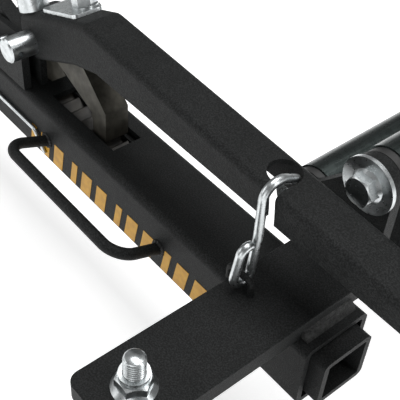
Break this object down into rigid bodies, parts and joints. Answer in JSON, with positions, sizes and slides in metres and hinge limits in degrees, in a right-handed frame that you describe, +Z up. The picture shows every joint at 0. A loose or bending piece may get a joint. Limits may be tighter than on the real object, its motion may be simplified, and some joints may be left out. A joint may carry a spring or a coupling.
{
  "type": "wheel dolly",
  "caption": "Foot-lever ratcheting wheel dolly: roller-carrying arms on swivel casters, joined by a telescoping crossbar with a hooked-down lever.",
  "frame": {"origin": "centre of the footprint, on the floor under the casters", "axes": "+X along the crossbar towards the foot pedal, +Y along the arms towards the rollers, +Z up"},
  "size_m": [0.828, 0.558, 0.218],
  "materials": {
    "black_coat": "fine textured black powder coat",
    "zinc_plate": "bright zinc plate",
    "bright_tube": "drawn bright steel",
    "bare_steel": "oiled bare steel with a brown cast",
    "nylon": "black nylon",
    "core_plastic": "moulded dark polypropylene",
    "tread_rubber": "dark thermoplastic rubber"
  },
  "bodies": {
    "base": {"outer_tube": "black_coat", "guide_liners": "nylon", "near_arm_plate": "black_coat", "near_weld_beads": "black_coat", "near_roller_brackets": "black_coat", "near_roller_bolts": "zinc_plate", "near_roller_shafts": "bright_tube", "near_caster_stems": "zinc_plate", "near_caster_nuts": "zinc_plate", "lift_handle": "black_coat", "side_spring_wire": "zinc_plate", "hook_staple": "black_coat", "pivot_ears": "black_coat", "pivot_pin": "zinc_plate", "pivot_clip": "zinc_plate", "pivot_spacer": "bare_steel", "holding_pawl_pin": "zinc_plate", "holding_pawl_spring": "zinc_plate"},
    "inner_frame": {"inner_tube": "black_coat", "ratchet_rack": "bare_steel", "far_arm_plate": "black_coat", "far_arm_spacer": "black_coat", "far_roller_brackets": "black_coat", "far_roller_bolts": "zinc_plate", "far_roller_shafts": "bright_tube", "far_caster_stems": "zinc_plate", "far_caster_nuts": "zinc_plate"},
    "lever": {"lever_channel": "black_coat", "foot_pedal": "black_coat", "hinge_plate": "zinc_plate", "hinge_bolts": "zinc_plate", "drive_pawl_pin": "zinc_plate", "drive_pawl_spring": "zinc_plate"},
    "drive_pawl": {"drive_pawl": "bare_steel"},
    "holding_pawl": {"holding_pawl": "black_coat"},
    "hook": {"lever_hook": "zinc_plate"},
    "near_low_roller": {"near_low_roller_tube": "bright_tube", "near_low_roller_bushes": "nylon"},
    "near_high_roller": {"near_high_roller_tube": "bright_tube", "near_high_roller_bushes": "nylon"},
    "near_left_caster": {"near_left_caster_fork": "zinc_plate", "near_left_caster_axle": "zinc_plate"},
    "near_left_wheel": {"near_left_caster_core": "core_plastic", "near_left_caster_tread": "tread_rubber"},
    "near_right_caster": {"near_right_caster_fork": "zinc_plate", "near_right_caster_axle": "zinc_plate"},
    "near_right_wheel": {"near_right_caster_core": "core_plastic", "near_right_caster_tread": "tread_rubber"},
    "far_low_roller": {"far_low_roller_tube": "bright_tube", "far_low_roller_bushes": "nylon"},
    "far_high_roller": {"far_high_roller_tube": "bright_tube", "far_high_roller_bushes": "nylon"},
    "far_left_caster": {"far_left_caster_fork": "zinc_plate", "far_left_caster_axle": "zinc_plate"},
    "far_left_wheel": {"far_left_caster_core": "core_plastic", "far_left_caster_tread": "tread_rubber"},
    "far_right_caster": {"far_right_caster_fork": "zinc_plate", "far_right_caster_axle": "zinc_plate"},
    "far_right_wheel": {"far_right_caster_core": "core_plastic", "far_right_caster_tread": "tread_rubber"}
  },
  "joints": [
    {"name": "crossbar_slide", "type": "slide", "parent": "base", "child": "inner_frame", "axis": [1, 0, 0], "range_m": [0, 0.24]},
    {"name": "lever_hinge", "type": "hinge", "parent": "base", "child": "lever", "pos_m": [0, -0.1385, 0.165], "axis": [0, -1, 0], "range_deg": [0, 30]},
    {"name": "drive_pawl_hinge", "type": "hinge", "parent": "lever", "child": "drive_pawl", "pos_m": [0.028, -0.1385, 0.174], "axis": [0, -1, 0], "range_deg": [-50, 0], "deforming": ["drive_pawl_spring"]},
    {"name": "holding_pawl_hinge", "type": "hinge", "parent": "base", "child": "holding_pawl", "pos_m": [-0.043, -0.1385, 0.142], "axis": [0, -1, 0], "range_deg": [0, 15], "stiffness_Nm_per_rad": 0.6, "springref_deg": -17.19, "deforming": ["holding_pawl_spring"]},
    {"name": "hook_swing", "type": "hinge", "parent": "base", "child": "hook", "pos_m": [0.237, -0.1676, 0.149], "axis": [1, 0, 0], "range_deg": [0, 90]},
    {"name": "near_low_roller_spin", "type": "hinge", "parent": "base", "child": "near_low_roller", "pos_m": [0.2175, 0.0615, 0.1535], "axis": [0, 1, 0], "continuous": true},
    {"name": "near_high_roller_spin", "type": "hinge", "parent": "base", "child": "near_high_roller", "pos_m": [0.262, 0.0615, 0.2], "axis": [0, 1, 0], "continuous": true},
    {"name": "near_left_caster_swivel", "type": "hinge", "parent": "base", "child": "near_left_caster", "pos_m": [0.254, -0.2535, 0.117], "axis": [0, 0, 1], "continuous": true},
    {"name": "near_left_wheel_spin", "type": "hinge", "parent": "near_left_caster", "child": "near_left_wheel", "pos_m": [0.286, -0.2535, 0.05], "axis": [0, 1, 0], "continuous": true},
    {"name": "near_right_caster_swivel", "type": "hinge", "parent": "base", "child": "near_right_caster", "pos_m": [0.254, 0.2535, 0.117], "axis": [0, 0, 1], "continuous": true},
    {"name": "near_right_wheel_spin", "type": "hinge", "parent": "near_right_caster", "child": "near_right_wheel", "pos_m": [0.286, 0.2535, 0.05], "axis": [0, 1, 0], "continuous": true},
    {"name": "far_low_roller_spin", "type": "hinge", "parent": "inner_frame", "child": "far_low_roller", "pos_m": [-0.3455, 0.0615, 0.1535], "axis": [0, 1, 0], "continuous": true},
    {"name": "far_high_roller_spin", "type": "hinge", "parent": "inner_frame", "child": "far_high_roller", "pos_m": [-0.39, 0.0615, 0.2], "axis": [0, 1, 0], "continuous": true},
    {"name": "far_left_caster_swivel", "type": "hinge", "parent": "inner_frame", "child": "far_left_caster", "pos_m": [-0.382, -0.2535, 0.117], "axis": [0, 0, 1], "continuous": true},
    {"name": "far_left_wheel_spin", "type": "hinge", "parent": "far_left_caster", "child": "far_left_wheel", "pos_m": [-0.35, -0.2535, 0.05], "axis": [0, 1, 0], "continuous": true},
    {"name": "far_right_caster_swivel", "type": "hinge", "parent": "inner_frame", "child": "far_right_caster", "pos_m": [-0.382, 0.2535, 0.117], "axis": [0, 0, 1], "continuous": true},
    {"name": "far_right_wheel_spin", "type": "hinge", "parent": "far_right_caster", "child": "far_right_wheel", "pos_m": [-0.35, 0.2535, 0.05], "axis": [0, 1, 0], "continuous": true}
  ],
  "couplings": [
    {"joint": "drive_pawl_hinge", "follows": "lever_hinge", "ratio": -1.65}
  ]
}
